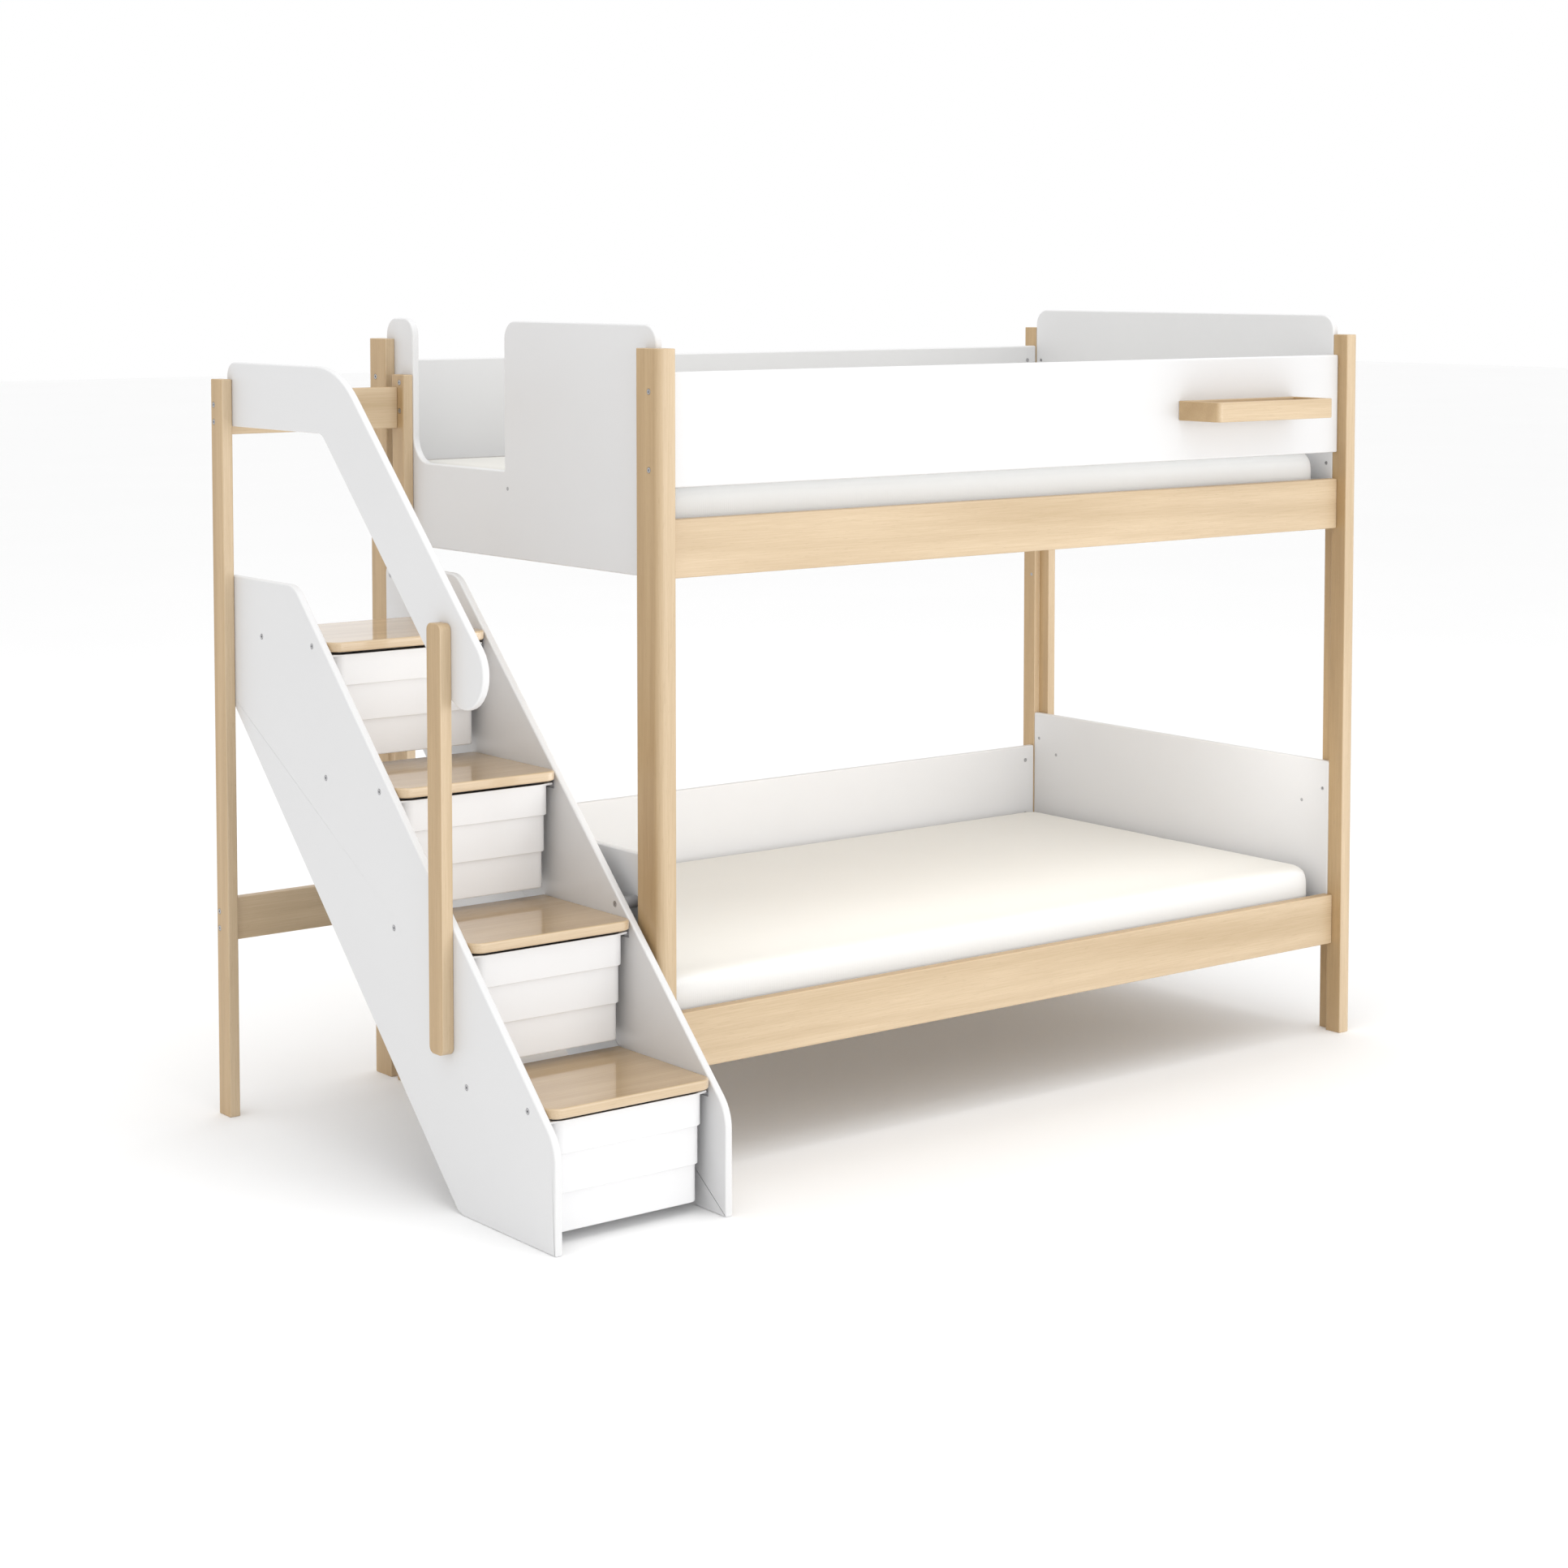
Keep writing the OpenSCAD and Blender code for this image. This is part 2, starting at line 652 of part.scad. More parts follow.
// Spacers keep the stair's right side clear of the bed posts.
module stair_spacers() color(grey) from_bed() difference() {
    union() {
        for (z = side_bolt_z) translate([side_right_x + side_t, post_bolt_y, z])
            rotate([0, 90, 0]) cylinder(r = 12, h = stair_gap);
        translate([side_right_x + side_t, brace_y, brace_z])
            rotate([0, 90, 0]) cylinder(r = 12, h = panel_x - side_right_x - side_t);
    }
    side_bolt_set(play);
}
module handrail_screws() color(grey) from_bed() {
    baluster_screw_set();
    handrail_screw_set();
}
module tray_screws() color(grey) from_bed() tray_screw_set();
module hole_caps() color(grey) from_bed() hole_cap_set();

post_front_left();
post_front_right();
post_rear_left();
post_rear_right();
upper_front_rail();
upper_rear_rail();
lower_front_rail();
lower_rear_rail();
front_guard_panel();
rear_guard_panel();
lower_rear_panel();
headboard();
footboard();
lower_end_panel_left();
lower_end_panel_right();
upper_ledgers();
lower_ledgers();
upper_slats();
lower_slats();
upper_mattress();
lower_mattress();
tray_frame();
tray_base();
stair_side_left();
stair_side_right();
stair_post_left();
stair_post_right();
cross_rail_top();
cross_rail_low();
handrail_panel();
baluster();
for (step = [1:steps]) {
    tread(step);
    tub(step);
    tub_runners(step);
}
guard_bolts();
guard_nuts();
panel_screws();
rail_brackets();
bracket_screws();
tread_bolts();
stair_frame_bolts();
stair_side_bolts();
stair_spacers();
handrail_screws();
tray_screws();
hole_caps();
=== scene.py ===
import math

import bmesh
import bpy
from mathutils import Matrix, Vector, noise


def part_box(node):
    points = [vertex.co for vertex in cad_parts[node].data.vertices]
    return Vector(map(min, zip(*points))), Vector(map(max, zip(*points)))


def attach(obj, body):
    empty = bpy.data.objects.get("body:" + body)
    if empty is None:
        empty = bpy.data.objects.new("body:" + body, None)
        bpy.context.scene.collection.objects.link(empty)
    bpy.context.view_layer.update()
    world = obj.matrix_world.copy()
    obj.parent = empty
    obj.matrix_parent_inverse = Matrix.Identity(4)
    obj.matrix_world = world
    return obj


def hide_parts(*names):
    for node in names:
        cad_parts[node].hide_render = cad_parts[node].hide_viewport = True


# A bunk bed with a storage staircase: the finished look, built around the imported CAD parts.
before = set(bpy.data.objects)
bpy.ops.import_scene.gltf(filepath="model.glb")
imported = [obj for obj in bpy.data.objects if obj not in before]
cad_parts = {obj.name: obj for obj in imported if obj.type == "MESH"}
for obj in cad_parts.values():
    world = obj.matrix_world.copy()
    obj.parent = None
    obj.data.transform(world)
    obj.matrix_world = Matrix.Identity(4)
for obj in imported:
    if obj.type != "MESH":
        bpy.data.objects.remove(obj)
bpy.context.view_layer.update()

# The studio: a pale floor that runs out to the horizon, an even white sky, and two large
# soft panels. The front panel is the stronger, so fronts are brighter than left-hand faces,
# and a weak fill in the opening of the lower bunk lifts the shade under the upper one.
scene = bpy.context.scene
scene.view_settings.view_transform = "Standard"
floor_reach = 40
sky_strength = 1.0
floor_deep, floor_pale = (0.955, 0.955, 0.955, 1), (0.975, 0.975, 0.975, 1)
panels = {
    "front_panel": {"at": (0.8, -7.0, 1.5), "aim": (0.1, 0, 0.7), "wide": 7.0, "tall": 2.6, "power": 145},
    "top_panel": {"at": (-0.5, -1.0, 6.5), "aim": (0, 0, 0), "wide": 6.0, "tall": 6.0, "power": 110},
    "bunk_fill": {"at": (0.22, -0.40, 0.80), "aim": (0.22, 1, 0.62), "wide": 1.7, "tall": 0.5, "power": 5},
}


def wire(tree, kind, inputs=(), **settings):
    """One node of a tree. Inputs are plain values, or the sockets that feed them."""
    node = tree.nodes.new(kind)
    for key, value in settings.items():
        setattr(node, key, value)
    for key, value in dict(inputs).items():
        if isinstance(value, bpy.types.NodeSocket):
            tree.links.new(value, node.inputs[key])
        else:
            node.inputs[key].default_value = value
    return node


def finish_named(name, fixed):
    """A new material and its shader, with what is the same all over set on the shader."""
    finish = bpy.data.materials.new(name)
    finish.use_nodes = True
    shader = finish.node_tree.nodes["Principled BSDF"]
    for key, value in fixed.items():
        shader.inputs[key].default_value = value
    return finish, finish.node_tree, shader


def blend_tone(tree, share, first, second):
    """A colour between two, by a share from 0 to 1. Sockets 6 and 7 take the two colours."""
    return wire(tree, "ShaderNodeMix", {0: share, 6: first, 7: second}, data_type="RGBA").outputs[2]


def spread(tree, value, low, high):
    """A 0 to 1 value spread between two others."""
    return wire(tree, "ShaderNodeMapRange", {"Value": value, "To Min": low, "To Max": high}).outputs[0]


floor_finish, tree, shader = finish_named("studio_floor", {"Specular IOR Level": 0.2})
place = wire(tree, "ShaderNodeTexCoord").outputs["Object"]
clouds = wire(tree, "ShaderNodeTexNoise", {"Vector": place, "Scale": 0.7, "Detail": 2.0}).outputs[0]
tree.links.new(blend_tone(tree, clouds, floor_deep, floor_pale), shader.inputs["Base Color"])
tree.links.new(spread(tree, clouds, 0.7, 0.8), shader.inputs["Roughness"])
shape = bmesh.new()
bmesh.ops.create_grid(shape, x_segments=4, y_segments=4, size=floor_reach)
floor_mesh = bpy.data.meshes.new("studio_floor")
shape.to_mesh(floor_mesh)
shape.free()
floor_mesh.materials.append(floor_finish)
floor = bpy.data.objects.new("studio_floor", floor_mesh)
scene.collection.objects.link(floor)

sky = bpy.data.worlds.new("studio_sky")
sky.use_nodes = True
sky.node_tree.nodes["Background"].inputs["Color"].default_value = (1, 1, 1, 1)
sky.node_tree.nodes["Background"].inputs["Strength"].default_value = sky_strength
scene.world = sky
for name, panel in panels.items():
    light = bpy.data.lights.new(name, "AREA")
    light.shape = "RECTANGLE"
    light.energy = panel["power"]
    light.size = panel["wide"]
    light.size_y = panel["tall"]
    lamp = bpy.data.objects.new(name, light)
    lamp.location = panel["at"]
    toward = Vector(panel["aim"]) - Vector(panel["at"])
    lamp.rotation_euler = toward.to_track_quat("-Z", "Y").to_euler()
    lamp.visible_camera = False
    scene.collection.objects.link(lamp)

# The camera stands front left of the bed, 1.8 m up and tilted a little down. Its shift
# is kept small enough that the whole bed still shows when it is moved round to other sides.
eye = (-4.2841, -5.3152, 1.8065)
tilt_down = math.radians(3.79)
turn_right = math.radians(37.935)
lens = bpy.data.cameras.new("camera")
lens.sensor_width = 36
lens.lens = 71.33
lens.shift_y = -0.20
lens.clip_end = 200
camera = bpy.data.objects.new("camera", lens)
camera.location = eye
camera.rotation_euler = (math.radians(90) - tilt_down, 0, -turn_right)
scene.collection.objects.link(camera)
scene.camera = camera

# Bed posts: four solid rubberwood uprights, clear lacquered, 40 by 78 mm. The outer corner is
# rounded on the moulder, the inner one rebated for the end panels, and the ends are eased.
weld = 1e-5
flat_face_weight = 100
sharp_turn = math.radians(35)
hole_rim_edge = 0.004
flat_within = math.radians(0.5)
post_ease = 0.0015
timber_pale, timber_warm = (0.665, 0.522, 0.352, 1), (0.495, 0.365, 0.217, 1)
timber_late, timber_pore = (0.41, 0.285, 0.155, 1), (0.31, 0.205, 0.110, 1)
# The second tone on the next line is painted shade for timber faces that do not look front or back.
timber_rubbed, shaded_side_tone = (0.70, 0.565, 0.395, 1), (0.83, 0.745, 0.60, 1)


def sum_of(tree, *parts):
    """The sum of value * weight over (value, weight) pairs."""
    total = 0.0
    for value, weight in parts:
        total = wire(tree, "ShaderNodeMath", {0: value, 1: weight, 2: total},
                     operation="MULTIPLY_ADD").outputs[0]
    return total


def between(tree, value, low, high):
    """How far a value has come from low to high, from 0 to 1."""
    return wire(tree, "ShaderNodeMapRange", {"Value": value, "From Min": low, "From Max": high}).outputs[0]


def facing(tree, axis):
    """How squarely a surface faces along X, Y or Z, from 0 to 1."""
    normal = wire(tree, "ShaderNodeNewGeometry").outputs["Normal"]
    part = wire(tree, "ShaderNodeSeparateXYZ", {0: normal}).outputs[axis]
    return wire(tree, "ShaderNodeMath", {0: part}, operation="ABSOLUTE").outputs[0]


def mottle(tree, place, scale, detail):
    """Soft noise over a piece, from 0 to 1."""
    return wire(tree, "ShaderNodeTexNoise",
                {"Vector": place, "Scale": scale, "Detail": detail}).outputs[0]


def on_piece(tree, offset):
    """Places on the piece itself, moved so that no two pieces show the same pattern."""
    place = wire(tree, "ShaderNodeTexCoord").outputs["Object"]
    return wire(tree, "ShaderNodeMapping", {"Vector": place, "Location": offset}).outputs[0]


def rounded_edges(tree):
    """Where a piece's edges were rounded over, from 0 to 1."""
    return wire(tree, "ShaderNodeAttribute", attribute_name="ease").outputs["Fac"]


def timber_finish(name, along, offset, coat=0.25, coat_rough=0.25):
    """Clear lacquered timber whose grain runs along one axis (0 for X, 1 for Y, 2 for Z)."""
    finish, tree, shader = finish_named(
        name, {"Coat Weight": coat, "Coat Roughness": coat_rough, "IOR": 1.5})
    moved = on_piece(tree, offset)

    def stretched(share):
        squash = [1.0, 1.0, 1.0]
        squash[along] = share
        return wire(tree, "ShaderNodeVectorMath", {0: moved, 1: squash}, operation="MULTIPLY").outputs[0]

    tone = mottle(tree, stretched(0.07), 13.0, 3.0)
    rings = wire(tree, "ShaderNodeTexWave",
                 {"Vector": stretched(0.045), "Scale": 9.0, "Distortion": 7.0, "Detail": 3.0,
                  "Detail Scale": 1.6}, bands_direction="DIAGONAL").outputs["Fac"]
    fibre = wire(tree, "ShaderNodeTexNoise",
                 {"Vector": stretched(0.02), "Scale": 420.0, "Detail": 3.0, "Roughness": 0.6}).outputs[0]
    fleck = mottle(tree, stretched(0.03), 1300.0, 1.0)
    pore = between(tree, fleck, 0.66, 0.76)
    edge_mask = rounded_edges(tree)

    board = sum_of(tree, (between(tree, tone, 0.34, 0.66), 0.55), (between(tree, fibre, 0.3, 0.7), 0.42))
    body = blend_tone(tree, board, timber_pale, timber_warm)
    ringed = blend_tone(tree, sum_of(tree, (rings, 0.22)), body, timber_late)
    pored = blend_tone(tree, sum_of(tree, (pore, 0.40)), ringed, timber_pore)
    edged = blend_tone(tree, sum_of(tree, (edge_mask, 0.30)), pored, timber_rubbed)
    # Faces that do not look front or back are multiplied to a deeper tone: painted shade, as the sides and
    # tops get less light than the fronts.
    side_shade_share = wire(tree, "ShaderNodeMath", {0: 1.0, 1: facing(tree, 1)}, operation="SUBTRACT").outputs[0]
    toned = wire(tree, "ShaderNodeMix", {0: side_shade_share, 6: edged, 7: shaded_side_tone}, data_type="RGBA",
                 blend_type="MULTIPLY").outputs[2]
    tree.links.new(toned, shader.inputs["Base Color"])
    tree.links.new(sum_of(tree, (fibre, 0.16), (edge_mask, 0.08), (1.0, 0.36)), shader.inputs["Roughness"])
    bump = wire(tree, "ShaderNodeBump", {"Strength": 0.25, "Distance": 0.0002,
                                         "Height": sum_of(tree, (fibre, 1.0), (pore, -0.8))})
    tree.links.new(bump.outputs[0], shader.inputs["Normal"])
    return finish


def outer_runs(sharp):
    """The sharp edges that join into long runs, leaving out the small rings round bolt holes."""
    left, kept = set(sharp), []
    for start in sharp:
        if start not in left:
            continue
        left.discard(start)
        run, waiting = [], [start]
        while waiting:
            edge = waiting.pop()
            run.append(edge)
            for near in (n for v in edge.verts for n in v.link_edges if n in left):
                left.discard(near)
                waiting.append(near)
        if max(edge.calc_length() for edge in run) > hole_rim_edge:
            kept += run
    return sorted(kept, key=lambda edge: edge.index)


def as_piece(shape, name, finish, body, replaced):
    """Makes a shape an object with soft even normals, hangs it on its body and hides the CAD parts it stands
    for.
    """
    for face in shape.faces:
        face.smooth = True
    for edge in shape.edges:
        edge.smooth = not (edge.is_manifold and edge.calc_face_angle() > sharp_turn)
    mesh = bpy.data.meshes.new(name)
    shape.to_mesh(mesh)
    shape.free()
    mesh.materials.append(finish)
    piece = bpy.data.objects.new(name, mesh)
    scene.collection.objects.link(piece)
    even = piece.modifiers.new("even_normals", "WEIGHTED_NORMAL")
    even.keep_sharp = True
    even.weight = flat_face_weight
    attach(piece, body)
    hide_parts(*replaced)
    return piece


def welded(node):
    """The CAD part as one clean closed shape of flat faces."""
    shape = bmesh.new()
    shape.from_mesh(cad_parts[node].data)
    bmesh.ops.remove_doubles(shape, verts=shape.verts, dist=weld)
    bmesh.ops.dissolve_limit(shape, angle_limit=flat_within, verts=shape.verts, edges=shape.edges)
    shape.edges.index_update()
    return shape


def eased(node, radius, finish, rounds=3):
    """The CAD part with its outer edges rounded over, standing for the plain one."""
    shape = welded(node)
    sharp = [e for e in shape.edges if e.is_manifold and e.calc_face_angle() > sharp_turn]
    made = bmesh.ops.bevel(shape, geom=outer_runs(sharp), offset=radius, segments=rounds,
                           profile=0.5, affect="EDGES", clamp_overlap=False)
    rounded = set(made["faces"])
    ease = shape.verts.layers.float.new("ease")
    for vert in shape.verts:
        vert[ease] = float(bool(vert.link_faces) and all(f in rounded for f in vert.link_faces))
    return as_piece(shape, f"{node}_finished", finish, "root", [node])


posts = ("post_front_left", "post_front_right", "post_rear_left", "post_rear_right")
for number, post in enumerate(posts):
    finish = timber_finish(f"timber_{post}", 2, (1.7 * number, 0.4, 0.9 * number))
    eased(post, post_ease, finish)

# Side rails: 25 by 116 mm planks between the posts, the grain along their length. They carry
# the ledgers inside, and their edges are rounded to 3 mm.
rail_ease = 0.003
rails = ("upper_front_rail", "upper_rear_rail", "lower_front_rail", "lower_rear_rail")
for number, rail in enumerate(rails):
    finish = timber_finish(f"timber_{rail}", 0, (0.8 * number, 2.1, 0.37 * number))
    eased(rail, rail_ease, finish)

# Ledgers and slats: square battens glued inside the rails, and fourteen flat slats a bed laid
# across them. The slats are one rule, a rounded section run the width of the bed and repeated.
ledger_ease = 0.0015
slats_per_bed, slat_width, slat_ease = 14, 0.070, 0.003
for number, ledger in enumerate(("upper_ledgers", "lower_ledgers")):
    eased(ledger, ledger_ease, timber_finish(f"timber_{ledger}", 0, (3.3, number, 1.9)))


def new_tree(name, sizes):
    """A Geometry Nodes tree with a geometry way in and out, and named inputs."""
    tree = bpy.data.node_groups.new(name, "GeometryNodeTree")
    tree.interface.new_socket("Geometry", in_out="INPUT", socket_type="NodeSocketGeometry")
    for label, kind in sizes.items():
        tree.interface.new_socket(label, in_out="INPUT", socket_type=kind)
    tree.interface.new_socket("Geometry", in_out="OUTPUT", socket_type="NodeSocketGeometry")
    return tree, wire(tree, "NodeGroupInput").outputs


def closed_off(tree, geometry, finish):
    """Ends a tree in real geometry with its material on."""
    real = wire(tree, "GeometryNodeRealizeInstances", {"Geometry": geometry}).outputs[0]
    coated = wire(tree, "GeometryNodeSetMaterial", {"Geometry": real, "Material": finish}).outputs[0]
    wire(tree, "NodeGroupOutput", {"Geometry": coated})


def run_tree(tree, mesh, values):
    """The plain mesh that a tree makes from a start mesh and its named inputs."""
    helper = bpy.data.objects.new("helper", mesh)
    scene.collection.objects.link(helper)
    modifier = helper.modifiers.new("nodes", "NODES")
    modifier.node_group = tree
    for item in tree.interface.items_tree:
        if item.in_out == "INPUT" and item.name in values:
            modifier[item.identifier] = values[item.name]
    helper.update_tag()
    bpy.context.view_layer.update()
    made = bpy.data.meshes.new_from_object(helper.evaluated_get(bpy.context.evaluated_depsgraph_get()))
    helper.modifiers.remove(modifier)
    bpy.data.objects.remove(helper)
    return made


number_in, whole_in, material_in = "NodeSocketFloat", "NodeSocketInt", "NodeSocketMaterial"
slat_tree, sizes = new_tree("slat_row", {
    "Count": whole_in, "Spacing": number_in, "Slat Width": number_in, "Slat Thickness": number_in,
    "Slat Length": number_in, "Ease": number_in, "Finish": material_in})
section = wire(slat_tree, "GeometryNodeCurvePrimitiveQuadrilateral",
               {"Width": sizes["Slat Width"], "Height": sizes["Slat Thickness"]}).outputs[0]
section = wire(slat_tree, "GeometryNodeFilletCurve", {"Curve": section, "Count": 3,
               "Radius": sizes["Ease"]}, mode="POLY").outputs[0]
far_end = wire(slat_tree, "ShaderNodeCombineXYZ", {"Y": sizes["Slat Length"]}).outputs[0]
run = wire(slat_tree, "GeometryNodeCurvePrimitiveLine", {"End": far_end}).outputs[0]
slat = wire(slat_tree, "GeometryNodeCurveToMesh",
            {"Curve": run, "Profile Curve": section, "Fill Caps": True}).outputs[0]
gap = wire(slat_tree, "ShaderNodeCombineXYZ", {"X": sizes["Spacing"]}).outputs[0]
row = wire(slat_tree, "GeometryNodeMeshLine", {"Count": sizes["Count"], "Offset": gap}).outputs[0]
row = wire(slat_tree, "GeometryNodeInstanceOnPoints", {"Points": row, "Instance": slat}).outputs[0]
closed_off(slat_tree, row, sizes["Finish"])

for number, slats in enumerate(("upper_slats", "lower_slats")):
    low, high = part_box(slats)
    slat_thick = high[2] - low[2]
    slat_timber = timber_finish(f"timber_{slats}", 1, (0.6, 1.1 * number, 2.4))
    made = run_tree(slat_tree, bpy.data.meshes.new("slat_start"), {
        "Count": slats_per_bed, "Spacing": (high[0] - low[0] - slat_width) / (slats_per_bed - 1),
        "Slat Width": slat_width, "Slat Thickness": slat_thick, "Slat Length": high[1] - low[1],
        "Ease": slat_ease, "Finish": slat_timber})
    shape = bmesh.new()
    shape.from_mesh(made)
    bmesh.ops.recalc_face_normals(shape, faces=shape.faces)
    bmesh.ops.translate(shape, verts=shape.verts,
                        vec=(low[0] + slat_width / 2, low[1], low[2] + slat_thick / 2))
    as_piece(shape, f"{slats}_finished", slat_timber, "root", [slats])

# White panels: 16 mm board in white satin lacquer, cut to shape and rounded over on all its
# edges. Bolts into round nuts hold the guards, and screws hold the end panels to the posts.
panel_ease = 0.004
white_deep, white_clean = (0.69, 0.69, 0.695, 1), (0.735, 0.735, 0.735, 1)
# The lighter white on the next line is a painted highlight for the rounded edges.
white_edge_highlight = (0.78, 0.78, 0.78, 1)


def lacquer_finish(name, offset):
    """White satin lacquer: faint tone drift, a fine sprayed texture, and lighter rounded edges that are a
    painted highlight.
    """
    finish, tree, shader = finish_named(name, {"Coat Weight": 0.12, "Coat Roughness": 0.3, "IOR": 1.48})
    moved = on_piece(tree, offset)
    drift = mottle(tree, moved, 3.0, 3.0)
    spray = mottle(tree, moved, 900.0, 2.0)
    orange = mottle(tree, moved, 220.0, 1.0)
    edge_mask = rounded_edges(tree)
    field = blend_tone(tree, sum_of(tree, (drift, 0.7), (spray, 0.15)), white_deep, white_clean)
    # Rounded edges are blended toward a lighter white: a painted highlight.
    tree.links.new(blend_tone(tree, sum_of(tree, (edge_mask, 0.6)), field, white_edge_highlight),
                   shader.inputs["Base Color"])
    tree.links.new(sum_of(tree, (drift, 0.10), (spray, 0.06), (edge_mask, 0.05), (1.0, 0.32)),
                   shader.inputs["Roughness"])
    bump = wire(tree, "ShaderNodeBump", {"Strength": 0.12, "Distance": 0.0002,
                                         "Height": sum_of(tree, (spray, 0.4), (orange, 1.0))})
    tree.links.new(bump.outputs[0], shader.inputs["Normal"])
    return finish


bed_panels = ("front_guard_panel", "rear_guard_panel", "lower_rear_panel", "headboard", "footboard",
              "lower_end_panel_left", "lower_end_panel_right")
for number, panel in enumerate(bed_panels):
    eased(panel, panel_ease, lacquer_finish(f"lacquer_{panel}", (0.7 * number, 1.3, 0.2)))

# Stair sides and handrail: the same white board, sawn to the slope of the stair. Every edge is
# rounded over, and bolts and screws hold the boards to the treads, posts and baluster.
for number, panel in enumerate(("stair_side_left", "stair_side_right", "handrail_panel")):
    eased(panel, panel_ease, lacquer_finish(f"lacquer_{panel}", (5.1, 0.9 * number, 0.6)))

# Stair frame: two rear posts, two cross rails between them and one short baluster that holds
# the handrail, all lacquered rubberwood with softly rounded corners.
stair_timbers = {"stair_post_left": 2, "stair_post_right": 2, "baluster": 2,
                 "cross_rail_top": 0, "cross_rail_low": 0}
frame_ease = 0.002
for number, (timber, along) in enumerate(stair_timbers.items()):
    finish = timber_finish(f"timber_{timber}", along, (0.5 * number, 4.2, 1.3 * number))
    eased(timber, frame_ease, finish)

# Treads: 20 mm lacquered timber boards with rounded edges, bolted between the stair
# sides. They have a thicker, glossier coat than the posts because they are walked on.
steps = range(1, 5)
tread_ease, tread_coat, tread_coat_rough = 0.004, 1.0, 0.07
for step in steps:
    finish = timber_finish(f"timber_tread_{step}", 0, (1.9 * step, 0.3, 0.7), tread_coat, tread_coat_rough)
    eased(f"tread_{step}", tread_ease, finish)

# Tub runners: folded grey angles screwed up under the treads, whose ledges carry the tubs.
# Their ends show as small dark tips in the corners beneath each tread.
runner_ease = 0.0004
runner_pale, runner_deep = (0.30, 0.30, 0.31, 1), (0.22, 0.22, 0.23, 1)
rubbed_gain = 1.12


def moulded_finish(name, pale, deep, rough, offset, grain=700.0):
    """Moulded plastic: a fine spark-eroded texture and a slight drift of tone and gloss."""
    finish, tree, shader = finish_named(name, {"IOR": 1.49, "Coat Weight": 0.1, "Coat Roughness": 0.2})
    moved = on_piece(tree, offset)
    drift = mottle(tree, moved, 6.0, 2.0)
    spark = mottle(tree, moved, grain, 2.0)
    edge_mask = rounded_edges(tree)
    tone = blend_tone(tree, sum_of(tree, (drift, 0.8), (spark, 0.2)), pale, deep)
    rubbed = tuple(min(1, channel * rubbed_gain) for channel in pale[:3]) + (1,)
    tree.links.new(blend_tone(tree, sum_of(tree, (edge_mask, 0.35)), tone, rubbed), shader.inputs["Base Color"])
    tree.links.new(sum_of(tree, (drift, 0.08), (spark, 0.08), (1.0, rough)), shader.inputs["Roughness"])
    bump = wire(tree, "ShaderNodeBump", {"Strength": 0.15, "Distance": 0.0002, "Height": spark})
    tree.links.new(bump.outputs[0], shader.inputs["Normal"])
    return finish


grey_finish = moulded_finish("runner_grey", runner_pale, runner_deep, 0.42, (0, 0, 0))
for step in steps:
    eased(f"tub_runners_{step}", runner_ease, grey_finish, 2)

# Storage tubs: white moulded plastic, three bands each set in from the one above, hung by
# side flanges on the runners. Walls are 3 mm, and every lip and the foot has a small radius.
tub_wall, band_step, band_lap, tub_corner = 0.003, 0.005, 0.004, 0.026
smallest_corner, foot_round, inner_round = 0.004, 0.003, 0.003
foot_turn_in, foot_turn_up = 0.0012, 0.0008
edge_in, edge_up = 0.0007, 0.0008
lip_round, lip_flat = 0.0006, 0.0027
flange_out, flange_thick, flange_end, flange_reach = 0.0085, 0.004, 0.137, 0.001
tub_pale, tub_deep = (0.79, 0.79, 0.795, 1), (0.745, 0.745, 0.75, 1)
corner_points = 7
side_shares = (0.25, 0.5, 0.75)


def tub_ring(shape, centre, half, inset, height, flange=0.0):
    """One level of the tub: a rounded rectangle, its sides pushed out where the flange runs."""
    radius = max(tub_corner - inset, smallest_corner)
    straight = (half[0] - inset - radius, half[1] - inset - radius)
    outline = []
    for quarter, (side_x, side_y) in enumerate(((1, 1), (-1, 1), (-1, -1), (1, -1))):
        corner = []
        for i in range(corner_points):
            turn = math.radians(90 * quarter + 90 * i / (corner_points - 1))
            corner.append((side_x * straight[0] + radius * math.cos(turn),
                           side_y * straight[1] + radius * math.sin(turn)))
        outline.append(corner)
    path = []
    for quarter in range(4):
        path += outline[quarter]
        start, end = outline[quarter][-1], outline[(quarter + 1) % 4][0]
        path += [tuple(a + (b - a) * share for a, b in zip(start, end)) for share in side_shares]
    ring = []
    for x, y in path:
        if flange and abs(x) > straight[0] and abs(y) < flange_end + flange_reach:
            x, y = math.copysign(half[0] + flange, x), max(-flange_end, min(flange_end, y))
        ring.append(shape.verts.new((centre[0] + x, centre[1] + y, height)))
    return ring


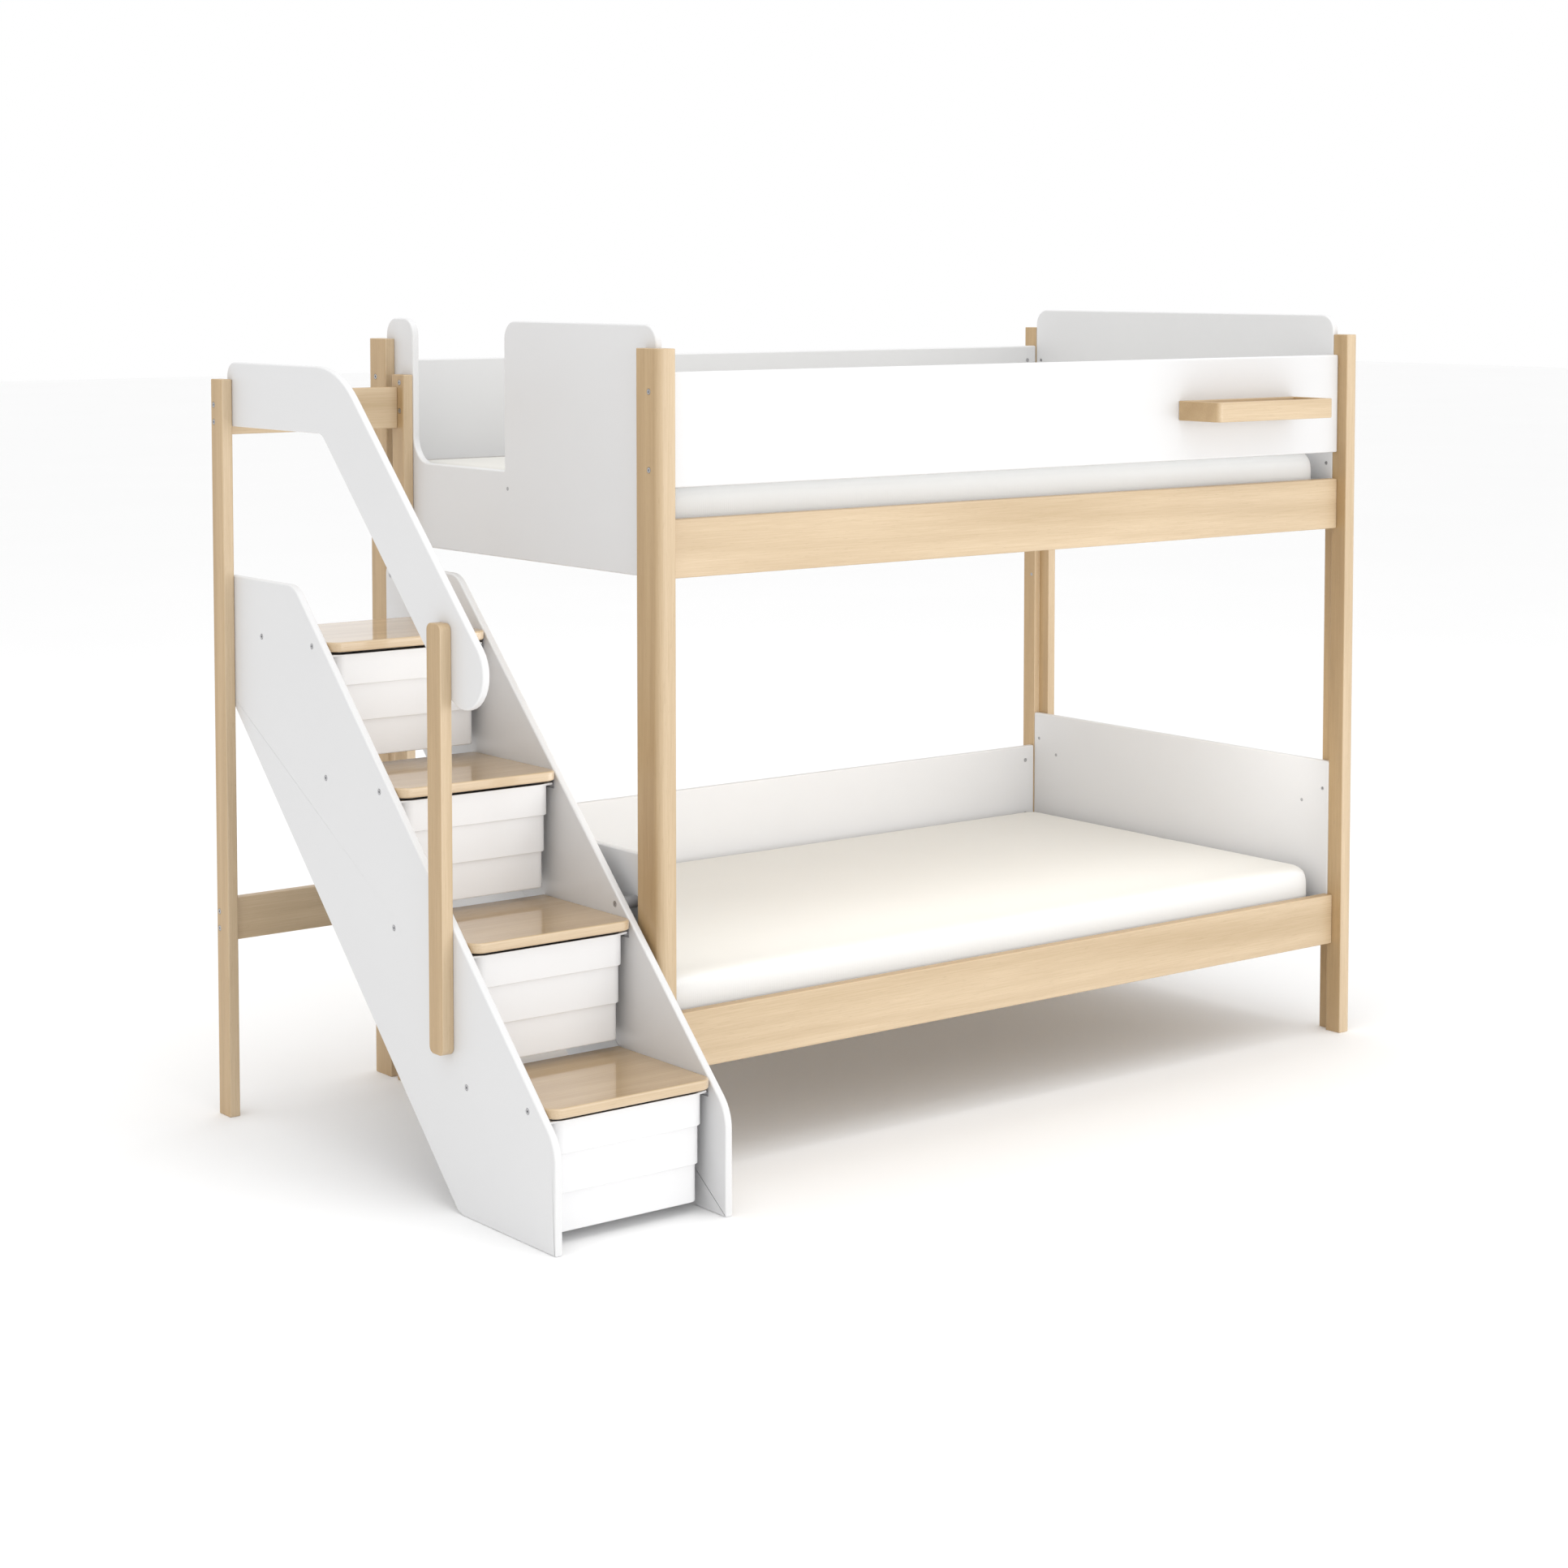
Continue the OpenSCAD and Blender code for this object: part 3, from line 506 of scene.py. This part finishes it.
for step in steps:
    low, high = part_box(f"tub_{step}")
    centre = ((low[0] + high[0]) / 2, (low[1] + high[1]) / 2)
    half = ((high[0] - low[0]) / 2 - flange_out, (high[1] - low[1]) / 2)
    foot, top = low[2], high[2]
    band_height = (top - foot) / 3 + band_lap
    band_two = top - (top - foot - 2 * band_height)
    band_one = band_two - band_height
    levels = [(2 * band_step + foot_round, foot, 0),
              (2 * band_step + foot_turn_in, foot + foot_turn_up, 0),
              (2 * band_step, foot + foot_round, 0),
              (2 * band_step, band_one, 0), (band_step + edge_in, band_one, 0),
              (band_step, band_one + edge_up, 0),
              (band_step, band_two, 0), (edge_in, band_two, 0), (0.0, band_two + edge_up, 0),
              (0.0, top - flange_thick, 0), (0.0, top - flange_thick, flange_out),
              (0.0, top - lip_round, flange_out), (0.0, top, flange_out - lip_round),
              (lip_flat, top, 0), (tub_wall, top - lip_round, 0),
              (tub_wall, band_two + tub_wall, 0), (tub_wall + band_step, band_two + tub_wall, 0),
              (tub_wall + band_step, band_one + tub_wall, 0),
              (tub_wall + 2 * band_step, band_one + tub_wall, 0),
              (tub_wall + 2 * band_step, foot + tub_wall + inner_round, 0),
              (tub_wall + 2 * band_step + inner_round, foot + tub_wall, 0)]
    shape = bmesh.new()
    rings = [tub_ring(shape, centre, half, inset, height, flange) for inset, height, flange in levels]
    for lower, upper in zip(rings, rings[1:]):
        for i in range(len(lower)):
            j = (i + 1) % len(lower)
            shape.faces.new((lower[i], lower[j], upper[j], upper[i]))
    shape.faces.new(list(reversed(rings[0])))
    shape.faces.new(rings[-1])
    bmesh.ops.remove_doubles(shape, verts=shape.verts, dist=weld)
    bmesh.ops.recalc_face_normals(shape, faces=shape.faces)
    finish = moulded_finish(f"tub_white_{step}", tub_pale, tub_deep, 0.34, (0.9 * step, 0.2, 0.1), 500.0)
    as_piece(shape, f"tub_{step}_moulded", finish, f"tub_{step}", [f"tub_{step}"])

# Mattresses: a foam core in a smooth off-white knitted cover. Each is filled out by a cloth
# run, so its sides and top crown softly, and lies flat on the slats. It has no piping.
border_pale, border_deep = (0.775, 0.775, 0.765, 1), (0.735, 0.735, 0.725, 1)
# The top tones on the next line are the border knit with painted shade and a painted warm bounce from the
# wood above.
knit_top_shade_pale, knit_top_shade_deep = (0.735, 0.722, 0.680, 1), (0.69, 0.677, 0.635, 1)
core_corner, core_edge, core_voxel = 0.030, 0.020, 0.018
side_swell, top_swell = 0.004, 0.005
fill_pressure, fill_frames = 4.0, 20
sit_in, ripples_per_metre, ripple_apart = 0.0012, 3, 9


def knit_finish(name, offset):
    """Fine off-white knit: two crossing ribs of stitches, soft pilling and a slight sheen."""
    finish, tree, shader = finish_named(name, {"Sheen Weight": 0.25, "Sheen Roughness": 0.5,
                                               "Specular IOR Level": 0.25})
    moved = on_piece(tree, offset)
    drift = mottle(tree, moved, 4.0, 4.0)
    pile = mottle(tree, moved, 600.0, 2.0)
    ribs = [wire(tree, "ShaderNodeTexWave",
                 {"Vector": moved, "Scale": 95.0, "Distortion": 0.6, "Detail": 1.0},
                 bands_direction=axis).outputs["Fac"] for axis in "XY"]
    crossed = wire(tree, "ShaderNodeMath", {0: ribs[0], 1: ribs[1]}, operation="MULTIPLY").outputs[0]
    share = sum_of(tree, (drift, 0.6), (crossed, 0.25), (pile, 0.15))
    border = blend_tone(tree, share, border_pale, border_deep)
    panel = blend_tone(tree, share, knit_top_shade_pale, knit_top_shade_deep)
    # The lying surface is painted darker and warmer than the border round it: painted shade, with painted
    # warm light thrown back from the wood above.
    tree.links.new(blend_tone(tree, between(tree, facing(tree, 2), 0.6, 0.95), border, panel),
                   shader.inputs["Base Color"])
    tree.links.new(spread(tree, pile, 0.78, 0.95), shader.inputs["Roughness"])
    bump = wire(tree, "ShaderNodeBump", {"Strength": 0.35, "Distance": 0.0006,
                                         "Height": sum_of(tree, (crossed, 1.0), (pile, 0.5))})
    tree.links.new(bump.outputs[0], shader.inputs["Normal"])
    return finish


def rounded_core(name, low, high):
    """A block with round upright corners and soft top and bottom edges."""
    shape = bmesh.new()
    bmesh.ops.create_cube(shape, size=1.0)
    for vert in shape.verts:
        vert.co = Vector(high[i] if vert.co[i] > 0 else low[i] for i in range(3))
    upright = [e for e in shape.edges if abs(e.verts[0].co.z - e.verts[1].co.z) > 0.05]
    bmesh.ops.bevel(shape, geom=upright, offset=core_corner, segments=5, profile=0.5, affect="EDGES")
    rims = [e for e in shape.edges if e.calc_face_angle(0) > sharp_turn
            and abs(e.verts[0].co.z - e.verts[1].co.z) < weld]
    bmesh.ops.bevel(shape, geom=rims, offset=core_edge, segments=4, profile=0.5, affect="EDGES")
    bmesh.ops.triangulate(shape, faces=shape.faces)
    mesh = bpy.data.meshes.new(name)
    shape.to_mesh(mesh)
    shape.free()
    core = bpy.data.objects.new(name, mesh)
    scene.collection.objects.link(core)
    return core


def bake_modifier(piece):
    """Replaces a piece's mesh with what its modifiers make of it now."""
    bpy.context.view_layer.update()
    made = bpy.data.meshes.new_from_object(piece.evaluated_get(bpy.context.evaluated_depsgraph_get()))
    piece.modifiers.clear()
    piece.data = made


def filled_out(piece, low, high):
    """Blows the cover out under pressure, then holds it inside the room the mattress has."""
    start = [v.co.copy() for v in piece.data.vertices]
    cloth = piece.modifiers.new("fill", "CLOTH")
    cloth.settings.use_pressure = True
    cloth.settings.uniform_pressure_force = fill_pressure
    cloth.settings.effector_weights.gravity = 0
    cloth.point_cache.frame_end = fill_frames
    for frame_number in range(1, fill_frames + 1):
        scene.frame_set(frame_number)
    bake_modifier(piece)
    scene.frame_set(1)
    for vert, begun in zip(piece.data.vertices, start):
        moved = vert.co - begun
        reach = Vector((side_swell, side_swell, top_swell))
        for i in range(3):
            step = max(-reach[i], min(reach[i], moved[i]))
            vert.co[i] = max(low[i], min(high[i], begun[i] + step))


for number, mattress in enumerate(("upper_mattress", "lower_mattress")):
    low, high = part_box(mattress)
    core_low = (low[0] + side_swell, low[1] + side_swell, low[2])
    core_high = (high[0] - side_swell, high[1] - side_swell, high[2] - top_swell)
    cover = rounded_core(f"{mattress}_cover", core_low, core_high)
    remesh = cover.modifiers.new("even_mesh", "REMESH")
    remesh.mode = "VOXEL"
    remesh.voxel_size = core_voxel
    bake_modifier(cover)
    filled_out(cover, low, high)
    smoother = cover.modifiers.new("finer", "SUBSURF")
    smoother.levels = smoother.render_levels = 1
    bake_modifier(cover)
    # A slow crown and a faint sit-in keep the top from being a dead flat plane.
    centre = (Vector(low) + Vector(high)) / 2
    span = (Vector(high) - Vector(low)) / 2
    for vert in cover.data.vertices:
        across = vert.co - centre
        if across.z > 0:
            away = max(abs(across.x) / span.x, abs(across.y) / span.y)
            spot = (vert.co.x * ripples_per_metre + ripple_apart * number, vert.co.y * ripples_per_metre, 0)
            sag = sit_in * noise.noise(Vector(spot))
            vert.co.z += (sag - sit_in) * (across.z / span.z) * max(0.0, 1 - away ** 4)
    for polygon in cover.data.polygons:
        polygon.use_smooth = True
    cover.data.materials.clear()
    cover.data.materials.append(knit_finish(f"knit_{mattress}", (0.3 * number, 0.1, 0)))
    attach(cover, "root")
    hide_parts(mattress)

# Bedside tray: a shallow wooden frame with rounded corners and a thin base let into it,
# screwed to the front guard from behind. The grain follows its long side.
tray_ease, tray_base_ease = 0.002, 0.0006
eased("tray_frame", tray_ease, timber_finish("timber_tray", 0, (6.4, 0.8, 2.2)))
eased("tray_base", tray_base_ease, timber_finish("timber_tray_base", 0, (7.7, 0.1, 0.4)), 2)

# Fasteners: zinc-plated furniture bolts with hexagon sockets, and small wood screws. Each kind
# is one rule, a chamfered head with a socket on a shank, set at every place the CAD part has.
zinc_pale, zinc_deep = (0.58, 0.58, 0.59, 1), (0.40, 0.40, 0.41, 1)
zinc_rubbed = (0.74, 0.74, 0.75, 1)
head_depth, chamfer_share, socket_share, socket_reach, shank_start = 0.003, 0.12, 0.45, 1.2, 0.8


def metal_finish(name, pale, deep, rough):
    """Plated steel: cloudy zinc, fine drawn lines and brighter rubbed edges."""
    finish, tree, shader = finish_named(name, {"Metallic": 1.0})
    place = wire(tree, "ShaderNodeTexCoord").outputs["Object"]
    clouds = mottle(tree, place, 160.0, 3.0)
    drawn = mottle(tree, place, 1800.0, 2.0)
    edge_mask = rounded_edges(tree)
    tone = blend_tone(tree, sum_of(tree, (clouds, 0.9)), pale, deep)
    tree.links.new(blend_tone(tree, sum_of(tree, (edge_mask, 0.5)), tone, zinc_rubbed),
                   shader.inputs["Base Color"])
    tree.links.new(sum_of(tree, (clouds, 0.15), (drawn, 0.1), (1.0, rough)), shader.inputs["Roughness"])
    bump = wire(tree, "ShaderNodeBump", {"Strength": 0.1, "Distance": 0.0001, "Height": drawn})
    tree.links.new(bump.outputs[0], shader.inputs["Normal"])
    return finish


zinc = metal_finish("zinc_steel", zinc_pale, zinc_deep, 0.28)
bolt_tree, sizes = new_tree("fastener_set", {
    "Head Radius": number_in, "Head Depth": number_in, "Chamfer": number_in, "Shank Radius": number_in,
    "Shank Length": number_in, "Socket Radius": number_in, "Finish": material_in})


def take(operation, first, second=0.0):
    """One sum on two of the bolt tree's sizes."""
    return wire(bolt_tree, "ShaderNodeMath", {0: first, 1: second}, operation=operation).outputs[0]


def lifted(geometry, height):
    """Moves part of the bolt along its own axis."""
    place = wire(bolt_tree, "ShaderNodeCombineXYZ", {"Z": height}).outputs[0]
    return wire(bolt_tree, "GeometryNodeTransform", {"Geometry": geometry, "Translation": place}).outputs[0]


head = wire(bolt_tree, "GeometryNodeMeshCone",
            {"Vertices": 24, "Radius Bottom": sizes["Head Radius"],
             "Radius Top": take("SUBTRACT", sizes["Head Radius"], sizes["Chamfer"]),
             "Depth": sizes["Head Depth"]}).outputs[0]
head = lifted(head, take("MULTIPLY", sizes["Head Depth"], -1.0))
socket_deep = take("MULTIPLY", sizes["Head Depth"], socket_reach)
socket = wire(bolt_tree, "GeometryNodeMeshCylinder",
              {"Vertices": 6, "Radius": sizes["Socket Radius"], "Depth": socket_deep}).outputs[0]
shank = wire(bolt_tree, "GeometryNodeMeshCylinder",
             {"Vertices": 16, "Radius": sizes["Shank Radius"], "Depth": sizes["Shank Length"]}).outputs[0]
shank = lifted(shank, take("SUBTRACT", take("MULTIPLY", sizes["Shank Length"], -0.5),
                           take("MULTIPLY", sizes["Head Depth"], shank_start)))
bolt = wire(bolt_tree, "GeometryNodeMeshBoolean", {"Mesh 2": head}, operation="UNION", solver="EXACT")
bolt_tree.links.new(shank, bolt.inputs["Mesh 2"])
bolt = wire(bolt_tree, "GeometryNodeMeshBoolean", {"Mesh 1": bolt.outputs[0], "Mesh 2": socket},
            operation="DIFFERENCE", solver="EXACT").outputs[0]
way = wire(bolt_tree, "GeometryNodeInputNamedAttribute", {"Name": "way"}, data_type="FLOAT_VECTOR").outputs[0]
turn = wire(bolt_tree, "FunctionNodeAlignRotationToVector", {"Vector": way}, axis="Z").outputs[0]
bolts = wire(bolt_tree, "GeometryNodeInstanceOnPoints",
             {"Points": sizes["Geometry"], "Instance": bolt, "Rotation": turn}).outputs[0]
closed_off(bolt_tree, bolts, sizes["Finish"])


def islands(shape):
    """The separate closed shapes in a mesh, in a steady order."""
    left = set(shape.verts)
    for start in shape.verts:
        if start not in left:
            continue
        left.discard(start)
        group, waiting = [], [start]
        while waiting:
            vert = waiting.pop()
            group.append(vert.co.copy())
            for near in (e.other_vert(vert) for e in vert.link_edges):
                if near in left:
                    left.discard(near)
                    waiting.append(near)
        yield group


def fastener_places(node):
    """{(length, head radius, shank radius): [(middle of the head's face, way out), ...]}"""
    shape, found = welded(node), {}
    for group in islands(shape):
        low = Vector(min(p[i] for p in group) for i in range(3))
        high = Vector(max(p[i] for p in group) for i in range(3))
        axis = max(range(3), key=lambda i: high[i] - low[i])
        middle = (low + high) / 2

        def reach(end):
            near = [p for p in group if abs(p[axis] - end[axis]) < weld]
            return max(math.dist([p[i] for i in range(3) if i != axis],
                                 [middle[i] for i in range(3) if i != axis]) for p in near)

        ends = sorted(((reach(low), low), (reach(high), high)), key=lambda pair: -pair[0])
        (head_radius, head_end), (shank_radius, shank_end) = ends
        face = middle.copy()
        face[axis] = head_end[axis]
        out = Vector((0, 0, 0))
        out[axis] = math.copysign(1, head_end[axis] - shank_end[axis])
        key = tuple(round(v, 4) for v in (high[axis] - low[axis], head_radius, shank_radius))
        found.setdefault(key, []).append((face, out))
    shape.free()
    return found


for node in ("guard_bolts", "tread_bolts", "stair_frame_bolts", "stair_side_bolts", "panel_screws",
             "bracket_screws", "handrail_screws", "tray_screws"):
    whole = bmesh.new()
    for (length, head_radius, shank_radius), places in sorted(fastener_places(node).items()):
        points = bpy.data.meshes.new("points")
        points.from_pydata([face for face, out in places], [], [])
        ways = points.attributes.new("way", "FLOAT_VECTOR", "POINT")
        for item, (face, out) in zip(ways.data, places):
            item.vector = out
        made = run_tree(bolt_tree, points, {
            "Head Radius": head_radius, "Head Depth": head_depth, "Chamfer": head_radius * chamfer_share,
            "Shank Radius": shank_radius, "Shank Length": length - head_depth * shank_start,
            "Socket Radius": head_radius * socket_share, "Finish": zinc})
        whole.from_mesh(made)
    bmesh.ops.recalc_face_normals(whole, faces=whole.faces)
    as_piece(whole, f"{node}_finished", zinc, "root", [node])

# Brackets, cross nuts, spacers and caps: pressed steel angles join rails to posts, round nuts
# take the guard bolts, grey spacers hold the stair off the bed, and caps fill spare holes.
bracket_ease = 0.0006
bracket_finish = metal_finish("bracket_steel", zinc_pale, zinc_deep, 0.34)
eased("rail_brackets", bracket_ease, bracket_finish, 2)
spacer_pale, spacer_deep = (0.34, 0.34, 0.35, 1), (0.26, 0.26, 0.27, 1)
cap_pale, cap_deep = (0.42, 0.42, 0.43, 1), (0.33, 0.33, 0.34, 1)
carried_over = {
    "guard_nuts": metal_finish("nut_steel", zinc_pale, zinc_deep, 0.3),
    "stair_spacers": moulded_finish("spacer_grey", spacer_pale, spacer_deep, 0.45, (0, 1, 0)),
    "hole_caps": moulded_finish("cap_grey", cap_pale, cap_deep, 0.4, (1, 0, 0)),
}
for node, finish in carried_over.items():
    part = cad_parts[node]
    part.data.materials.clear()
    part.data.materials.append(finish)
